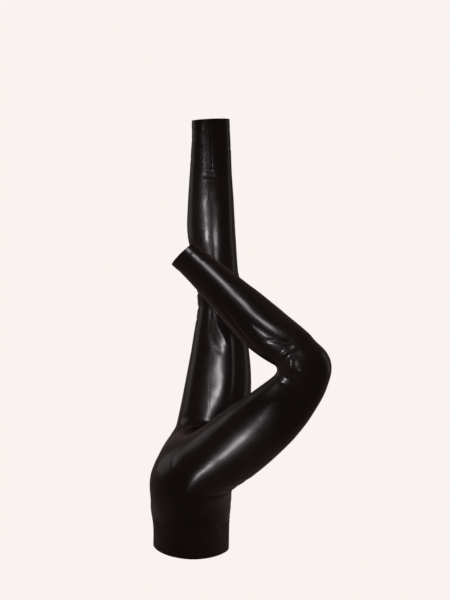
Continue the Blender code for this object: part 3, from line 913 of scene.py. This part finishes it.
def make_leather(name, colour, roughness, coat):
    """Coated leather: pebbled grain with fine pores, uneven gloss and depth of colour, and a clear coat."""
    material, nodes, links, shader, place = start_material(name)
    tune(shader, Coat_Weight=coat, Coat_Roughness=0.16, Coat_IOR=1.45, Specular_IOR_Level=0.5)
    pebble = tune(nodes.new("ShaderNodeTexVoronoi"), Scale=820)
    pores = tune(nodes.new("ShaderNodeTexNoise"), Scale=2600, Detail=2)
    cloud = tune(nodes.new("ShaderNodeTexNoise"), Scale=26, Detail=5)
    patch = tune(nodes.new("ShaderNodeTexNoise"), Scale=9, Detail=2)
    for texture in (pebble, pores, cloud, patch):
        links.new(place, texture.inputs["Vector"])
    grain = nodes.new("ShaderNodeMath")
    grain.operation = "MULTIPLY_ADD"
    grain.inputs[1].default_value = PORE_SHARE
    links.new(pores.outputs["Fac"], grain.inputs[0])
    links.new(pebble.outputs["Distance"], grain.inputs[2])
    add_relief(nodes, links, grain.outputs[0], shader, 0.22, 0.08 * MM)
    gloss = tune(nodes.new("ShaderNodeMapRange"), From_Min=0.3, From_Max=0.7,
                 To_Min=roughness - GLOSS_SWING, To_Max=roughness + GLOSS_SWING)
    links.new(cloud.outputs["Fac"], gloss.inputs["Value"])
    links.new(gloss.outputs["Result"], shader.inputs["Roughness"])
    deep, pale = ([share * c for c in colour] for share in (1 - TONE_SWING, 1 + TONE_SWING))
    add_tone(nodes, links, patch.outputs["Fac"], shader, deep, pale, 0.35, 0.68)
    return material


def make_backing(name):
    """The knitted back of the cloth: crossed fine ribs, matt and slightly furry."""
    material, nodes, links, shader, place = start_material(name)
    tune(shader, Roughness=0.92, Sheen_Weight=0.25, Sheen_Roughness=0.5, Specular_IOR_Level=0.25)
    ribs = tune(nodes.new("ShaderNodeTexWave"), Scale=420, Distortion=1.2, Detail=1)
    rows = tune(nodes.new("ShaderNodeTexWave"), Scale=300, Distortion=1.2, Detail=1)
    rows.bands_direction = "Z"
    knit = nodes.new("ShaderNodeMath")
    knit.operation = "MULTIPLY"
    for socket, texture in enumerate((ribs, rows)):
        links.new(place, texture.inputs["Vector"])
        links.new(texture.outputs["Fac"], knit.inputs[socket])
    add_tone(nodes, links, knit.outputs[0], shader, (0.008, 0.0075, 0.0075), (0.03, 0.028, 0.027))
    add_relief(nodes, links, knit.outputs[0], shader, 0.5, 0.2 * MM)
    return material


def make_thread(name):
    """Twisted black thread: a fine slanting wave for its plies."""
    material, nodes, links, shader, place = start_material(name)
    tune(shader, Roughness=0.42, Sheen_Weight=0.2)
    plies = tune(nodes.new("ShaderNodeTexWave"), Scale=900, Distortion=0.6)
    plies.bands_direction = "DIAGONAL"
    links.new(place, plies.inputs["Vector"])
    add_tone(nodes, links, plies.outputs["Fac"], shader, (0.006, 0.0055, 0.0055), (0.02, 0.0185, 0.018))
    add_relief(nodes, links, plies.outputs["Fac"], shader, 0.4, 0.1 * MM)
    return material


leather = make_leather("glossy_black_leg_leather", (0.0100, 0.0060, 0.0055), 0.30, 0.35)
band_leather = make_leather("soft_black_band_leather", (0.0260, 0.0205, 0.0180), 0.42, 0.12)
backing = make_backing("black_knit_backing")
thread = make_thread("black_thread")


# ---- Pieces ----

def make_leg(side):
    """One leg's cloth, and the rows of stitches in its cuff."""
    points, outward, first_closed = leg_form(side)
    if side == "left":
        points = pulled_smooth(points, *KNEECAP)
    raised, from_cuff = dress_leg(side, points, outward)
    points = points + outward * closed_up(raised, first_closed)[..., None]
    cloth = make_shell(side + "_leg_cloth", points, outward, first_closed, LEG_WALL, side == "left",
                       (leather, backing), from_cuff > HEM_DEPTH)
    rows = []
    for number, wanted in enumerate(STITCH_ROWS, 1):
        rail, up = rail_at(points, outward, from_cuff, wanted)
        rows.append(row_of_stitches(f"{side}_cuff_stitches_{number}", rail, up))
    for piece in (cloth, *rows):
        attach(piece, "root")
    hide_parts(side + "_leg")
    return [cloth, *rows]


def make_band():
    """The waistband's cloth, and the row of stitches beside its seam."""
    points, outward, first_closed = band_form()
    raised, from_hem = dress_band(points, outward)
    points = points + outward * closed_up(raised, first_closed)[..., None]
    band = make_shell("waistband_cloth", points, outward, first_closed, BAND_WALL, False,
                      (band_leather, backing), from_hem > BAND_FACING)
    rail, up = rail_at(points, outward, from_hem[-1] - from_hem, BAND_STITCH)
    row = row_of_stitches("waist_seam_stitches", rail, up)
    for piece in (band, row):
        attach(piece, "root")
    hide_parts("waistband")


left = make_leg("left")
right = make_leg("right")
make_band()


# ---- Lights, room, floor and camera ----

LIGHT_COLOUR = (1.0, 0.95, 0.97)
# What the camera sees behind the piece, and what its unlit sides mirror
BACKDROP = (0.945, 0.893, 0.872)
GLOW, GLOW_STRENGTH = (1, 0.70, 0.66), 0.09
# The floor lies below the waist, out of the main view, and is clear from below
FLOOR_CENTRE, FLOOR_HEIGHT, FLOOR_RADIUS, FLOOR_SIDES = 0.08, -0.35, 1.2, 96
FLOOR_DEEP, FLOOR_PALE, FLOOR_SHINE = (0.84, 0.79, 0.77), (0.90, 0.85, 0.83), 0.9
# A level camera on the wearer's left, its sensor, and how far up and down it sees at its distance
CAMERA_X, CAMERA_DISTANCE, CAMERA_HEIGHT = 0.0767, 3.6, 0.5665
SENSOR, HALF_VIEW = 36, 0.6771


def add_light(name, towards, bearing, rise, distance, width, height, brightness, spread=180, only=None):
    """A soft rectangle of light that faces the point it lights, as a beam or for some pieces only if asked.

    Its power is its brightness times its area, and for a beam of half angle h also times 1 - h / tan h,
    which keeps the light in the middle of the beam the same.
    """
    light = bpy.data.lights.new(name, "AREA")
    light.shape = "RECTANGLE"
    light.size, light.size_y = width, height
    light.energy = brightness * width * height
    if spread < 180:
        half = math.radians(spread / 2)
        light.energy *= 1 - half / math.tan(half)
    light.spread = math.radians(spread)
    light.color = LIGHT_COLOUR
    lamp = bpy.data.objects.new(name, light)
    bpy.context.scene.collection.objects.link(lamp)
    b, r = math.radians(bearing), math.radians(rise)
    way = Vector((math.sin(b) * math.cos(r), -math.cos(b) * math.cos(r), math.sin(r)))
    lamp.location = Vector(towards) + way * distance
    lamp.rotation_euler = way.to_track_quat("Z", "Y").to_euler()
    lamp.visible_camera = False
    if only:
        group = bpy.data.collections.new(name + "_reach")
        for piece in only:
            group.objects.link(piece)
        lamp.light_linking.receiver_collection = group


def mix_of(nodes, links, share, first, second, output):
    """Sends the first shader to the output where the share is 0, and the second where it is 1."""
    mix = nodes.new("ShaderNodeMixShader")
    for socket, source in zip(mix.inputs, (share, first, second)):
        links.new(source, socket)
    links.new(mix.outputs[0], output.inputs["Surface"])


def make_room():
    """A pale backdrop for the camera, and a dim glow for everything else."""
    world = bpy.data.worlds.new("studio")
    bpy.context.scene.world = world
    world.use_nodes = True
    nodes, links = world.node_tree.nodes, world.node_tree.links
    nodes.clear()
    seen = tune(nodes.new("ShaderNodeBackground"), Color=(*BACKDROP, 1))
    glow = tune(nodes.new("ShaderNodeBackground"), Color=(*GLOW, 1), Strength=GLOW_STRENGTH)
    to_camera = nodes.new("ShaderNodeLightPath").outputs["Is Camera Ray"]
    output = nodes.new("ShaderNodeOutputWorld")
    mix_of(nodes, links, to_camera, glow.outputs[0], seen.outputs[0], output)


def make_floor():
    """A flat disc that shines like the backdrop, and isn't mirrored in the leather."""
    turn = np.arange(FLOOR_SIDES) * 2 * math.pi / FLOOR_SIDES
    edge = np.stack([np.cos(turn), np.sin(turn), 0 * turn], -1) * FLOOR_RADIUS
    edge += [FLOOR_CENTRE, 0, FLOOR_HEIGHT]
    material, nodes, links, shader, place = start_material("pale_floor")
    tune(shader, Roughness=0.8, Emission_Strength=FLOOR_SHINE)
    speck = tune(nodes.new("ShaderNodeTexNoise"), Scale=60, Detail=3)
    links.new(place, speck.inputs["Vector"])
    tone = add_tone(nodes, links, speck.outputs["Fac"], shader, FLOOR_DEEP, FLOOR_PALE)
    links.new(tone.outputs["Color"], shader.inputs["Emission Color"])
    below = nodes.new("ShaderNodeNewGeometry").outputs["Backfacing"]
    clear = nodes.new("ShaderNodeBsdfTransparent")
    mix_of(nodes, links, below, shader.outputs[0], clear.outputs[0], nodes["Material Output"])
    floor = add_mesh("floor", edge, [list(range(FLOOR_SIDES))], [material])
    floor.visible_glossy = floor.visible_diffuse = floor.visible_shadow = False


def make_camera():
    """A level camera whose lens is sensor x distance / (2 x half view)."""
    lens = bpy.data.cameras.new("camera")
    lens.sensor_width = SENSOR
    lens.lens = SENSOR * CAMERA_DISTANCE / (2 * HALF_VIEW)
    camera = bpy.data.objects.new("camera", lens)
    bpy.context.scene.collection.objects.link(camera)
    camera.location = (CAMERA_X, -CAMERA_DISTANCE, CAMERA_HEIGHT)
    camera.rotation_euler = (math.radians(90), 0, 0)
    bpy.context.scene.camera = camera


# Bearings are in degrees from the camera's side, towards the wearer's front. Rises are above level.
#         name, towards, bearing, rise, distance, width, height, brightness, spread, only
add_light("calf_strip", (0.04, 0.07, 0.745), -31, 3, 1.3, 0.14, 0.28, 190, 12, right)
add_light("thigh_strip", (0.06, 0.03, 0.40), 1, 5, 1.6, 0.32, 0.66, 84, 20, right)
add_light("high_softbox", (0.025, -0.222, 0.645), -24, 52, 0.8, 0.42, 0.45, 40, 24, left)
add_light("low_card", (0.088, -0.242, 0.246), -46, -41, 0.42, 0.17, 0.16, 118, 12, left)
add_light("knee_card", (0.212, -0.34, 0.435), -54, 8, 0.4, 0.12, 0.14, 170, 12, left)
add_light("left_fill", (0.0, 0, 0.85), -115, 5, 2.4, 1.5, 1.1, 1.0)
add_light("right_fill", (0.0, 0, 0.5), 110, 10, 2.6, 0.8, 2.0, 0.9)
make_room()
make_floor()
make_camera()
bpy.context.scene.view_settings.view_transform = "Standard"
